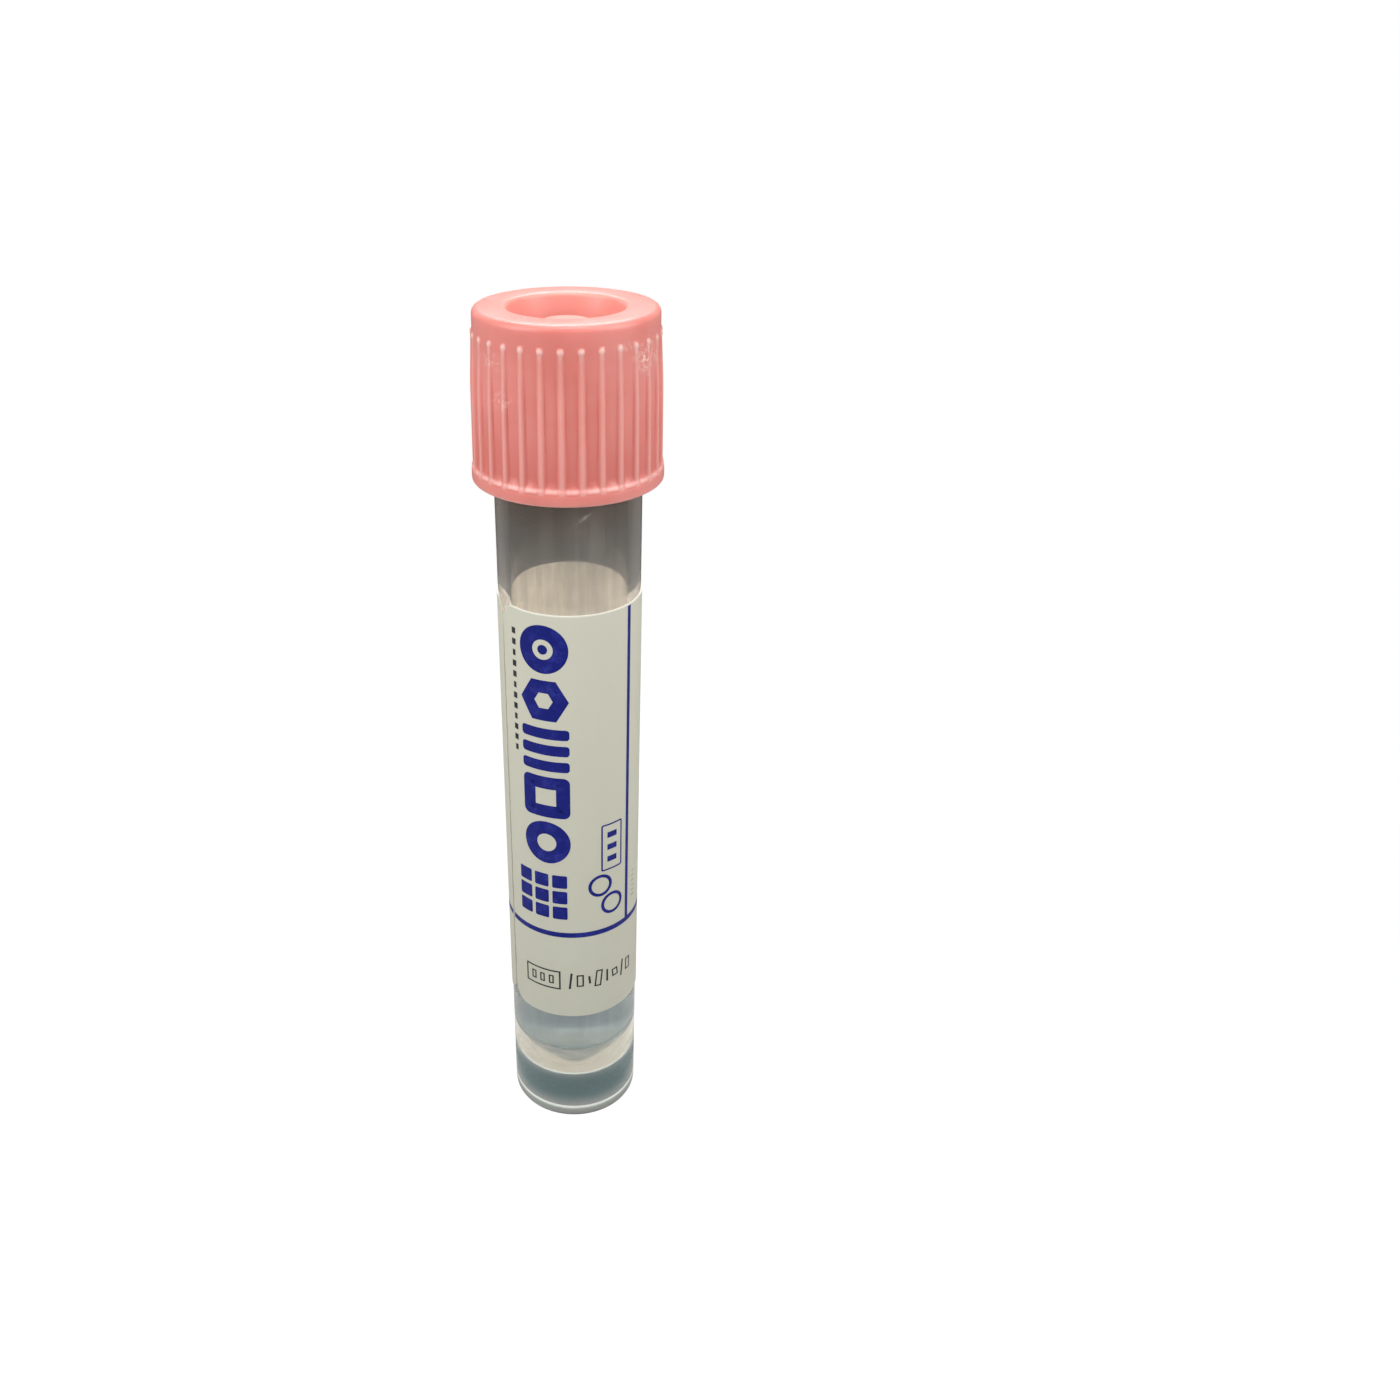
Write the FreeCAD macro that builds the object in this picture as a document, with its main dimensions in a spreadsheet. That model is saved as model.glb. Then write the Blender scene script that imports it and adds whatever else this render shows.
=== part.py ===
# Specimen swab tube: a self-standing tube with a ribbed screw cap, a seal, a label and its fill.
# Millimetres, +Z up along the tube, origin at the centre of the foot, label face towards -Y.
import FreeCAD, Part
import os
import math
import Sketcher

doc = FreeCAD.newDocument("SwabTube")

sheet = doc.addObject("Spreadsheet::Sheet", "Sizes")

SIZES = {
    # tube
    "tube_diameter": 12.2,      # outside, straight all the way up to the neck
    "tube_wall": 1.1,
    "tube_height": 77.0,        # foot to mouth
    "skirt_wall": 1.05,         # hollow standing skirt below the floor
    "floor_height": 8.4,        # where the conical floor starts
    "floor_drop": 3.8,          # how far the cone falls to its flat tip
    "floor_tip_radius": 0.7,
    "floor_thickness": 3.0,     # measured straight down
    "foot_round": 0.5,
    "thread_depth": 0.5,        # how far the neck steps in, to the root of the thread
    "shoulder_gap": 0.25,       # the barrel ends this far below the cap
    "shoulder_slope": 0.4,
    "mouth_chamfer": 0.2,
    # cap
    "cap_height": 13.7,
    "cap_clearance": 0.15,      # radial, between the cap's skirt and the tube
    "cap_wall": 1.23,           # at the foot of the smooth lands between the ribs
    "cap_lean": 0.14,           # how far the lands lean in by the rim
    "flange_reach": 0.36,       # beyond the lands
    "flange_height": 1.36,
    "flange_slope": 0.45,
    "flange_chamfer": 0.25,
    "deck_thickness": 1.4,
    "rim_round": 0.5,
    "recess_lip": 0.3,          # how far the rim runs in over the plug
    "recess_depth": 6.0,
    "recess_chamfer": 0.3,
    "plug_clearance": 0.05,     # radial, between the plug and the bore
    "plug_wall": 0.8,
    "plug_floor": 0.9,
    "boss_drop": 1.2,           # closed top of the stick socket, below the rim
    "boss_roof": 0.8,
    "socket_diameter": 2.5,
    "socket_wall": 0.8,
    "socket_length": 6.6,
    "funnel_height": 1.0,
    "funnel_widening": 0.5,
    "rib_count": 30,
    "rib_reach": 0.25,          # crests, beyond the foot of the lands
    "rib_lean": 0.28,           # how far the crests lean in at their upper ends
    "rib_knee": 4.85,           # length of the leaning stretch
    "rim_band": 1.65,           # smooth band between the ribs and the top
    "rib_crest": 0.26,
    "rib_root": 0.62,
    "rib_turn": -3.65,          # first rib, in degrees from the front
    # seal
    "seal_thickness": 0.65,
    "seal_gap": 0.05,           # free play above, below and inside the ring
    # label
    "label_base": 13.3,
    "bare_length": 9.85,        # bare wall between the label and the cap
    "label_thickness": 0.1,
    "label_seam": 0.25,
    "label_corner": 1.6,
    "seam_turn": -65.0,         # seam, in degrees from the front
    # fill
    "fill_depth": 11.25,        # above the start of the cone: one millilitre in all
}

row = 1
for name, value in SIZES.items():
    sheet.set(f"A{row}", name)
    sheet.set(f"B{row}", str(value))
    sheet.setAlias(f"B{row}", name)
    row += 1
doc.recompute()

# Expressions that more than one piece is built from.
OUTER = "Sizes.tube_diameter / 2"
BORE = "(Sizes.tube_diameter / 2 - Sizes.tube_wall)"
NECK = "(Sizes.tube_diameter / 2 - Sizes.thread_depth)"
MOUTH = "Sizes.tube_height"
TIP = "Sizes.floor_tip_radius"
TIP_LEVEL = "Sizes.floor_height - Sizes.floor_drop"
CAP_BORE = "(Sizes.tube_diameter / 2 + Sizes.cap_clearance)"
CAP_TOP = "(Sizes.tube_height + 2 * Sizes.seal_gap + Sizes.seal_thickness + Sizes.deck_thickness)"
CAP_BASE = f"{CAP_TOP} - Sizes.cap_height"
PLUG = f"({BORE} - Sizes.plug_clearance)"


def new_body(label):
    body = doc.addObject("PartDesign::Body", label)
    body.Label = label
    return body


def origin_plane(body, role):
    for feature in body.Origin.OriginFeatures:
        if feature.Role == role:
            return feature
    raise RuntimeError(f"{body.Label} has no {role}")


def outline(body, name, corners, role="XZ_Plane"):
    """Closed outline of straight runs; each corner is a pair of expressions, or 0 on an axis."""
    sketch = body.newObject("Sketcher::SketchObject", name)
    sketch.AttachmentSupport = [(origin_plane(body, role), "")]
    sketch.MapMode = "FlatFace"
    places = [(number(across), number(up)) for across, up in corners]
    for index, start in enumerate(places):
        end = places[(index + 1) % len(places)]
        sketch.addGeometry(Part.LineSegment(FreeCAD.Vector(*start, 0), FreeCAD.Vector(*end, 0)), False)
    for index in range(len(places)):
        following = (index + 1) % len(places)
        sketch.addConstraint(Sketcher.Constraint("Coincident", index, 2, following, 1))
    for index, (across, up) in enumerate(corners):
        hold(sketch, index, "DistanceX", across, -2)
        hold(sketch, index, "DistanceY", up, -1)
    return sketch


def hold(sketch, index, kind, expression, axis):
    """Ties the start of a run to the origin by an expression, or lays it on the axis."""
    if expression == 0:
        sketch.addConstraint(Sketcher.Constraint("PointOnObject", index, 1, axis))
        return
    value = number(expression)
    if value < 0:
        constraint = Sketcher.Constraint(kind, index, 1, -1, 1, -value)
        expression = f"-({expression})"
    else:
        constraint = Sketcher.Constraint(kind, -1, 1, index, 1, value)
    place = sketch.addConstraint(constraint)
    sketch.setExpression(f"Constraints[{place}]", expression)


def number(expression):
    if expression == 0:
        return 0.0
    return float(sheet.evalExpression(expression))


def revolve(body, name, sketch, angle=None):
    turned = body.newObject("PartDesign::Revolution", name)
    turned.Profile = sketch
    turned.ReferenceAxis = (sketch, ["V_Axis"])
    turned.Angle = 360.0
    if angle:
        turned.Midplane = True
        turned.setExpression("Angle", angle)
    doc.recompute()
    return turned


def rings(feature, radius, height):
    """Names of the circular edges of a turned feature at a radius and a height."""
    found = []
    for index, edge in enumerate(feature.Shape.Edges, 1):
        curve = edge.Curve
        if isinstance(curve, Part.Circle):
            same_radius = abs(curve.Radius - number(radius)) < 1e-4
            same_height = abs(curve.Center.z - number(height)) < 1e-4
            if same_radius and same_height:
                found.append(f"Edge{index}")
    if not found:
        raise RuntimeError(f"{feature.Name} has no edge at {radius}, {height}")
    return found


def dress(body, kind, name, base, edges, size):
    """Fillet or chamfer on the named edges of the base feature."""
    feature = body.newObject(f"PartDesign::{kind}", name)
    feature.Base = (base, edges)
    feature.setExpression("Radius" if kind == "Fillet" else "Size", size)
    doc.recompute()
    return feature


def raise_to(body, expression):
    body.setExpression(".Placement.Base.z", expression)


def cut_corners(body, name, level, side):
    """Rounds both corners of the strip's ends at one edge: side is 1 at its top, -1 at its bottom."""
    radius = sheet.get("label_corner")
    middle = radius + sheet.get("label_seam") / 2
    edge = number(level)
    inner = edge - side * radius
    sketch = body.newObject("Sketcher::SketchObject", f"{name}Outline")
    sketch.AttachmentSupport = [(origin_plane(body, "YZ_Plane"), "")]
    sketch.MapMode = "FlatFace"
    along_edge = Part.LineSegment(FreeCAD.Vector(-middle, edge), FreeCAD.Vector(middle, edge))
    across_seam = Part.LineSegment(FreeCAD.Vector(radius - middle, inner),
                                   FreeCAD.Vector(middle - radius, inner))
    sketch.addGeometry(along_edge)
    sketch.addGeometry(across_seam)
    for hand in (1, -1):
        circle = Part.Circle(FreeCAD.Vector(hand * middle, inner), FreeCAD.Vector(0, 0, 1), radius)
        bisector = math.atan2(side, -hand)
        arc = sketch.addGeometry(Part.ArcOfCircle(circle, bisector - math.pi / 4, bisector + math.pi / 4))
        run_end = 2 if hand == 1 else 1
        edge_end = 1 if side == hand else 2
        sketch.addConstraint([
            Sketcher.Constraint("Coincident", 0, run_end, arc, edge_end),
            Sketcher.Constraint("Coincident", 1, run_end, arc, 3 - edge_end),
            Sketcher.Constraint("Vertical", 0, run_end, arc, 3),
            Sketcher.Constraint("Horizontal", 1, run_end, arc, 3),
        ])
        radius_place = sketch.addConstraint(Sketcher.Constraint("Radius", arc, radius))
        sketch.setExpression(f"Constraints[{radius_place}]", "Sizes.label_corner")
    sketch.addConstraint(Sketcher.Constraint("Symmetric", 1, 1, 1, 2, -2))
    seam_place = sketch.addConstraint(Sketcher.Constraint("DistanceX", 1, 1, 1, 2, 2 * (middle - radius)))
    sketch.setExpression(f"Constraints[{seam_place}]", "Sizes.label_seam")
    level_place = sketch.addConstraint(Sketcher.Constraint("DistanceY", -1, 1, 0, 1, edge))
    sketch.setExpression(f"Constraints[{level_place}]", level)
    before = body.Shape.Volume
    pocket = body.newObject("PartDesign::Pocket", name)
    pocket.Profile = sketch
    pocket.setExpression("Length", "Sizes.tube_diameter")
    doc.recompute()
    if pocket.Shape.Volume >= before:
        raise RuntimeError(f"{name} took nothing away")


# Tube: one turned profile. The wall runs on down past the conical floor as a hollow skirt.
tube = new_body("tube")
SKIRT = "(Sizes.tube_diameter / 2 - Sizes.skirt_wall)"
SHOULDER = f"{CAP_BASE} - Sizes.shoulder_gap"
tube_outline = outline(tube, "TubeOutline", [
    (SKIRT, 0),
    (OUTER, 0),
    (OUTER, SHOULDER),
    (NECK, f"{SHOULDER} + Sizes.shoulder_slope"),
    (NECK, MOUTH),
    (BORE, MOUTH),
    (BORE, "Sizes.floor_height"),
    (TIP, TIP_LEVEL),
    (0, TIP_LEVEL),
    (0, f"{TIP_LEVEL} - Sizes.floor_thickness"),
    (TIP, f"{TIP_LEVEL} - Sizes.floor_thickness"),
    (SKIRT, "Sizes.floor_height - Sizes.floor_thickness"),
])
tube_wall = revolve(tube, "TubeWall", tube_outline)
foot_edge = rings(tube_wall, OUTER, "0")
tube_foot = dress(tube, "Fillet", "FootRound", tube_wall, foot_edge, "Sizes.foot_round")
mouth_edge = rings(tube_foot, BORE, MOUTH)
dress(tube, "Chamfer", "MouthChamfer", tube_foot, mouth_edge, "Sizes.mouth_chamfer")

# Transport medium: fills the cone and the bottom of the bore, up to a flat surface.
fill = new_body("transport_medium")
FILL_LEVEL = "Sizes.floor_height + Sizes.fill_depth"
fill_outline = outline(fill, "FillOutline", [
    (0, TIP_LEVEL),
    (TIP, TIP_LEVEL),
    (BORE, "Sizes.floor_height"),
    (BORE, FILL_LEVEL),
    (0, FILL_LEVEL),
])
revolve(fill, "Fill", fill_outline)

# Label: a strip wrapped once round the tube, with a narrow butt seam and rounded corners.
label = new_body("label")
LABEL_OUTER = "(Sizes.tube_diameter / 2 + Sizes.label_thickness)"
LABEL_TOP = f"{CAP_BASE} - Sizes.bare_length"
strip_outline = outline(label, "StripOutline", [
    (OUTER, "Sizes.label_base"),
    (LABEL_OUTER, "Sizes.label_base"),
    (LABEL_OUTER, LABEL_TOP),
    (OUTER, LABEL_TOP),
])
SEAM_ANGLE = f"Sizes.label_seam / {LABEL_OUTER} * 180 / pi"
strip = revolve(label, "Strip", strip_outline, f"360 - {SEAM_ANGLE}")
cut_corners(label, "TopCorners", LABEL_TOP, 1)
cut_corners(label, "BottomCorners", "Sizes.label_base", -1)
label.Placement.Rotation = FreeCAD.Rotation(FreeCAD.Vector(0, 0, 1), 0)
label.setExpression(".Placement.Rotation.Angle", "Sizes.seam_turn + 90")

# Seal ring: a punched flat washer that lies on the mouth, round the plug, under the cap's deck.
seal = new_body("seal_ring")
SEAL_INNER = f"({PLUG} + Sizes.seal_gap)"
SEAL_OUTER = f"({CAP_BORE} - 2 * Sizes.seal_gap)"
seal_outline = outline(seal, "SealOutline", [
    (SEAL_INNER, 0),
    (SEAL_OUTER, 0),
    (SEAL_OUTER, "Sizes.seal_thickness"),
    (SEAL_INNER, "Sizes.seal_thickness"),
])
revolve(seal, "SealBody", seal_outline)
raise_to(seal, "Sizes.tube_height + Sizes.seal_gap")

# Screw cap: skirt, flange, deck, hollow plug and stick socket in one turned profile, then the ribs.
cap = new_body("screw_cap")
DECK_LEVEL = "Sizes.cap_height - Sizes.deck_thickness"
RECESS_FLOOR = "Sizes.cap_height - Sizes.recess_depth"
BOSS_TOP = "Sizes.cap_height - Sizes.boss_drop"
SOCKET_END = f"{BOSS_TOP} - Sizes.boss_roof"
SOCKET_MOUTH = f"{SOCKET_END} - Sizes.socket_length"
SOCKET = "Sizes.socket_diameter / 2"
BOSS = f"{SOCKET} + Sizes.socket_wall"
LAND_LOW = f"({CAP_BORE} + Sizes.cap_wall)"
LAND_TOP = f"({LAND_LOW} - Sizes.cap_lean)"
FLANGE = f"{LAND_LOW} + Sizes.flange_reach"
RECESS = f"{PLUG} - Sizes.recess_lip"
cap_outline = outline(cap, "CapOutline", [
    (CAP_BORE, 0),
    (FLANGE, 0),
    (FLANGE, "Sizes.flange_height - Sizes.flange_slope"),
    (LAND_LOW, "Sizes.flange_height"),
    (LAND_TOP, "Sizes.cap_height"),
    (RECESS, "Sizes.cap_height"),
    (f"{PLUG} - Sizes.plug_wall", RECESS_FLOOR),
    (BOSS, RECESS_FLOOR),
    (BOSS, BOSS_TOP),
    (0, BOSS_TOP),
    (0, SOCKET_END),
    (SOCKET, SOCKET_END),
    (SOCKET, f"{SOCKET_MOUTH} + Sizes.funnel_height"),
    (f"{SOCKET} + Sizes.funnel_widening", SOCKET_MOUTH),
    (BOSS, SOCKET_MOUTH),
    (BOSS, f"{RECESS_FLOOR} - Sizes.plug_floor"),
    (PLUG, f"{RECESS_FLOOR} - Sizes.plug_floor"),
    (PLUG, DECK_LEVEL),
    (CAP_BORE, DECK_LEVEL),
])
cap_shell = revolve(cap, "CapShell", cap_outline)
flange_edge = rings(cap_shell, FLANGE, "0")
cap_flange = dress(cap, "Chamfer", "FlangeChamfer", cap_shell, flange_edge, "Sizes.flange_chamfer")
rim_edge = rings(cap_flange, LAND_TOP, "Sizes.cap_height")
cap_rim = dress(cap, "Fillet", "RimRound", cap_flange, rim_edge, "Sizes.rim_round")
recess_edge = rings(cap_rim, RECESS, "Sizes.cap_height")
cap_recess = dress(cap, "Chamfer", "RecessChamfer", cap_rim, recess_edge, "Sizes.recess_chamfer")
plug_edge = rings(cap_recess, PLUG, f"{RECESS_FLOOR} - Sizes.plug_floor")
cap_plug = dress(cap, "Chamfer", "PlugLead", cap_recess, plug_edge, "Sizes.plug_wall / 2")

# One grip rib: a tapered section drawn at the flange and run up to the smooth band under the rim.
RIB_CREST = f"{LAND_LOW} + Sizes.rib_reach"
RIB_FOOT = f"({CAP_BORE} + {LAND_TOP}) / 2"
RIB_TOP = "Sizes.cap_height - Sizes.rim_band"
RIB_KNEE = f"{RIB_TOP} - Sizes.rib_knee"
rib_section = outline(cap, "RibSection", [
    (RIB_FOOT, "-Sizes.rib_root / 2"),
    (RIB_CREST, "-Sizes.rib_crest / 2"),
    (RIB_CREST, "Sizes.rib_crest / 2"),
    (RIB_FOOT, "Sizes.rib_root / 2"),
], "XY_Plane")
rib_section.setExpression(".AttachmentOffset.Base.z", "Sizes.flange_height - Sizes.flange_slope")
rib = cap.newObject("PartDesign::Pad", "Rib")
rib.Profile = rib_section
rib.setExpression("Length", f"{RIB_TOP} - Sizes.flange_height + Sizes.flange_slope")
doc.recompute()
ribs = cap.newObject("PartDesign::PolarPattern", "Ribs")
ribs.Originals = [rib]
ribs.Axis = (rib_section, ["N_Axis"])
ribs.Angle = 360.0
ribs.setExpression("Occurrences", "Sizes.rib_count")
cap.Tip = ribs
doc.recompute()

# The crests lean in towards the rim: a turned cut takes their upper ends down.
BEYOND = 1.0  # how far the cut runs past the ribs
lean_outline = outline(cap, "LeanOutline", [
    (RIB_CREST, RIB_KNEE),
    (f"{RIB_CREST} + {BEYOND}", RIB_KNEE),
    (f"{RIB_CREST} + {BEYOND}", f"{RIB_TOP} + {BEYOND}"),
    (f"{RIB_CREST} - Sizes.rib_lean", f"{RIB_TOP} + {BEYOND}"),
    (f"{RIB_CREST} - Sizes.rib_lean", RIB_TOP),
])
lean = cap.newObject("PartDesign::Groove", "RibLean")
lean.Profile = lean_outline
lean.ReferenceAxis = (lean_outline, ["V_Axis"])
lean.Angle = 360.0
doc.recompute()
if lean.Shape.Volume >= ribs.Shape.Volume:
    raise RuntimeError("the cut over the ribs took nothing away")
raise_to(cap, CAP_BASE)
cap.setExpression(".Placement.Rotation.Angle", "Sizes.rib_turn - 90")

doc.recompute()
for item in doc.Objects:
    if "Invalid" in item.State or "Error" in item.State:
        raise RuntimeError(f"{item.Name} did not build: {item.State}")

os.makedirs("parts", exist_ok=True)
for body in (tube, fill, label, seal, cap):
    shape = body.Shape
    if shape.isNull() or not shape.isValid():
        raise RuntimeError(f"{body.Label} is not a valid solid")
    shape.exportStep(os.path.join("parts", f"{body.Label}.step"))
    print(body.Label, round(shape.Volume, 2), [round(v, 3) for v in (
        shape.BoundBox.XMin, shape.BoundBox.XMax, shape.BoundBox.YMin,
        shape.BoundBox.YMax, shape.BoundBox.ZMin, shape.BoundBox.ZMax)], len(shape.Faces))
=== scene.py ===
# Specimen swab tube: finishes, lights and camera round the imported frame.
import bpy
import bmesh
import math
from mathutils import Matrix, Vector


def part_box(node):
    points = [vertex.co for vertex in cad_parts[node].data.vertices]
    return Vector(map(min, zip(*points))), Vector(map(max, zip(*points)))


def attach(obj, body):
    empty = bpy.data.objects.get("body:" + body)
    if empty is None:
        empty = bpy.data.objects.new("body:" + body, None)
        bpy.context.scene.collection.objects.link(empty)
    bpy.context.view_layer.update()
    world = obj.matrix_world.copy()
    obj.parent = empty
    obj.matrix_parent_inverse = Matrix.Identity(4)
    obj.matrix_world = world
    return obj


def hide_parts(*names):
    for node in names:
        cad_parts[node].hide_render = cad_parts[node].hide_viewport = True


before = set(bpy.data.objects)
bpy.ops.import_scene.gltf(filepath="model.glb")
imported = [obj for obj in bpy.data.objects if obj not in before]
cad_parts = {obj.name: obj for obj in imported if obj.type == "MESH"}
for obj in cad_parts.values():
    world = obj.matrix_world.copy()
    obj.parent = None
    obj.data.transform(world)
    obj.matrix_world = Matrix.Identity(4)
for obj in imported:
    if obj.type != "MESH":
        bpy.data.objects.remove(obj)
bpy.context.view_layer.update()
mm = 0.001        # meshes are drawn in millimetres and scaled when they are finished


# measures from the frame, in millimetres

def radiusOf(node):
    low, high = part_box(node)
    return round(max(-low.x, high.x, -low.y, high.y) / mm, 2)


def levelsOf(node):
    low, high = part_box(node)
    return round(low.z / mm, 2), round(high.z / mm, 2)


tubeRadius = radiusOf("tube")
mouthLevel = levelsOf("tube")[1]
labelRadius = radiusOf("label")
labelLow, labelTop = levelsOf("label")
liquidRadius = radiusOf("transport_medium")
liquidLow, liquidTop = levelsOf("transport_medium")
sealRadius = radiusOf("seal_ring")
sealLow, sealTop = levelsOf("seal_ring")
flangeRadius = radiusOf("screw_cap")
capLow, capTop = levelsOf("screw_cap")
print("frame read: tube", tubeRadius, mouthLevel, "cap", flangeRadius, capLow, capTop)


# shared mesh tools

slack = 0.01      # how far off a line a point may lie and still count as on it


def clamp(value, low=0.0, high=1.0):
    return max(low, min(high, value))


def smooth(value):
    value = clamp(value)
    return value * value * (3 - 2 * value)


def reachOf(point):
    # distance from the tube's axis
    return math.hypot(point.x, point.y)


def drawOutline(bm, corners, segments=5):
    # corners are (radius, height, rounding) in order round the section
    verts = [bm.verts.new((radius, 0, height)) for radius, height, rounding in corners]
    for here, after in zip(verts, verts[1:] + verts[:1]):
        if here.co.x or after.co.x:      # no edge along the axis
            bm.edges.new((here, after))
    for size in sorted({corner[2] for corner in corners if corner[2]}):
        soft = [vert for vert, corner in zip(verts, corners) if corner[2] == size]
        bmesh.ops.bevel(bm, geom=soft, offset=size, offset_type="OFFSET", affect="VERTICES",
                        segments=segments, profile=0.5, material=-1)


def divideRun(bm, radii, low, high, spacing):
    # cuts the straight runs of the section that lie in this band into equal lengths
    for edge in list(bm.edges):
        ends = [vert.co for vert in edge.verts]
        level = all(low - slack <= end.z <= high + slack for end in ends)
        inside = all(radii[0] <= end.x <= radii[1] for end in ends)
        if level and inside and edge.calc_length() > spacing * 1.5:
            cuts = round(edge.calc_length() / spacing) - 1
            bmesh.ops.subdivide_edges(bm, edges=[edge], cuts=cuts)


def turnOutline(bm, steps):
    bmesh.ops.spin(bm, geom=bm.verts[:] + bm.edges[:], axis=(0, 0, 1), cent=(0, 0, 0),
                   angle=math.tau, steps=steps, use_merge=True)
    bmesh.ops.remove_doubles(bm, verts=bm.verts, dist=1e-4)
    bmesh.ops.dissolve_degenerate(bm, edges=bm.edges, dist=1e-5)
    bmesh.ops.recalc_face_normals(bm, faces=bm.faces)


def pushOut(vert, distance):
    share = 1 + distance / reachOf(vert.co)
    vert.co.x *= share
    vert.co.y *= share


threadLook = {
    "lead": 3.0,          # rise per turn
    "halfWidth": 0.4,
    "rise": 0.42,
    "flank": 0.32,        # width of the sloping side
    "runOut": 0.12,       # turns over which an end dies away
}


def threadRidge(vert, start, turns):
    # how far a helical ridge stands out at this vertex
    look = threadLook
    angle = math.atan2(vert.co.y, vert.co.x)
    turn = round((vert.co.z - start) / look["lead"] - angle / math.tau)
    along = turn + angle / math.tau
    off = abs(vert.co.z - start - along * look["lead"])
    flank = smooth((look["halfWidth"] - off) / look["flank"] + 0.5)
    ends = smooth(along / look["runOut"]) * smooth((turns - along) / look["runOut"])
    return look["rise"] * flank * ends


shadeLook = {
    "sharpFrom": 50,      # degrees between faces
    "weight": 60,         # of large faces in the shading
}


def finishPiece(bm, name, body, materials, nodes, weighted=True):
    bmesh.ops.scale(bm, vec=(mm, mm, mm), verts=bm.verts)
    mesh = bpy.data.meshes.new(name)
    bm.to_mesh(mesh)
    bm.free()
    mesh.shade_smooth()
    mesh.set_sharp_from_angle(angle=math.radians(shadeLook["sharpFrom"]))
    for material in materials:
        mesh.materials.append(material)
    piece = bpy.data.objects.new(name, mesh)
    bpy.context.scene.collection.objects.link(piece)
    if weighted:
        normals = piece.modifiers.new("even shading", "WEIGHTED_NORMAL")
        normals.keep_sharp = True
        normals.weight = shadeLook["weight"]
    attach(piece, body)
    if nodes:
        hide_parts(*nodes)
    print("made", name, len(mesh.polygons), "faces")
    return piece


# shared node tools

def newMaterial(name):
    material = bpy.data.materials.new(name)
    material.use_nodes = True
    tree = material.node_tree
    return material, tree, tree.nodes["Principled BSDF"]


def fill(tree, node, inputs):
    # a socket is linked, and a plain value is set
    for key, value in inputs.items():
        if isinstance(value, bpy.types.NodeSocket):
            tree.links.new(value, node.inputs[key])
        else:
            node.inputs[key].default_value = value


def put(tree, kind, inputs=None, **settings):
    node = tree.nodes.new(kind)
    for key, value in settings.items():
        setattr(node, key, value)
    fill(tree, node, inputs or {})
    return node


def maths(tree, operation, first, second=0.0, third=0.0):
    node = put(tree, "ShaderNodeMath", {0: first, 1: second, 2: third}, operation=operation)
    return node.outputs[0]


def blendColours(tree, factor, first, second):
    # the node has hidden sockets of the same names for other kinds of value
    node = put(tree, "ShaderNodeMix", data_type="RGBA")
    shown = {socket.name: index for index, socket in enumerate(node.inputs) if socket.enabled}
    fill(tree, node, {shown["Factor"]: factor, shown["A"]: first, shown["B"]: second})
    return next(socket for socket in node.outputs if socket.enabled)


def stops(tree, value, colours):
    node = put(tree, "ShaderNodeValToRGB", {0: value})
    elements = node.color_ramp.elements
    elements.remove(elements[0])
    elements[0].position, elements[0].color = colours[0]
    for position, colour in colours[1:]:
        elements.new(position).color = colour
    return node.outputs[0]


def noise(tree, vector, scale, detail=3.0, rough=0.5):
    node = put(tree, "ShaderNodeTexNoise", {"Vector": vector, "Scale": scale, "Detail": detail,
                                            "Roughness": rough})
    return node.outputs["Fac"]


def ramp(tree, value, low, high, lowResult=0.0, highResult=1.0):
    node = put(tree, "ShaderNodeMapRange", {"Value": value, "From Min": low, "From Max": high,
                                            "To Min": lowResult, "To Max": highResult})
    return node.outputs[0]


def spread(tree, value, low, high):
    # most of a noise lies between 0.3 and 0.7
    return ramp(tree, value, 0.3, 0.7, low, high)


def stretched(tree, coordinates, scale):
    return put(tree, "ShaderNodeMapping", {"Vector": coordinates, "Scale": scale}).outputs[0]


def objectPlace(tree):
    return put(tree, "ShaderNodeTexCoord").outputs["Object"]


def heightOf(tree, place):
    return put(tree, "ShaderNodeSeparateXYZ", {0: place}).outputs["Z"]


def fromAxis(tree, place):
    flat = put(tree, "ShaderNodeVectorMath", {0: place, 1: (1, 1, 0)}, operation="MULTIPLY").outputs[0]
    return put(tree, "ShaderNodeVectorMath", {0: flat}, operation="LENGTH").outputs["Value"]


def bump(tree, height, distance):
    return put(tree, "ShaderNodeBump", {"Height": height, "Distance": distance}).outputs[0]


def spot(tree, place, radius, turn, level, width, height, tilt=0.0):
    # 1 in the middle of an oval on the round wall, falling to 0 at its edge
    angle = math.radians(turn)
    centre = Vector((math.sin(angle) * radius, -math.cos(angle) * radius, level)) * mm
    node = put(tree, "ShaderNodeMapping", {"Vector": place, "Location": centre,
                                           "Rotation": (0, math.radians(-tilt), 0),
                                           "Scale": (width * mm, width * mm, height * mm)},
               vector_type="TEXTURE")
    away = put(tree, "ShaderNodeVectorMath", {0: node.outputs[0]}, operation="LENGTH").outputs["Value"]
    return ramp(tree, away, 1.0, 0.3)


def letLightThrough(tree, shader, colour):
    # light passes straight through to what is inside, while the eye sees the shader
    rays = put(tree, "ShaderNodeLightPath")
    passing = put(tree, "ShaderNodeBsdfTransparent", {"Color": colour}).outputs[0]
    shown = shader.outputs[0]
    for ray in ("Is Diffuse Ray", "Is Shadow Ray"):
        shown = put(tree, "ShaderNodeMixShader", {0: rays.outputs[ray], 1: shown, 2: passing}).outputs[0]
    tree.links.new(shown, tree.nodes["Material Output"].inputs["Surface"])


def srgb(red, green, blue):
    # written as 0 to 255, as on a colour chart
    def linear(value):
        value /= 255
        return value / 12.92 if value <= 0.04045 else ((value + 0.055) / 1.055) ** 2.4
    return (linear(red), linear(green), linear(blue), 1.0)


# the tube: wall, conical floor, hollow skirt and neck

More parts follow.
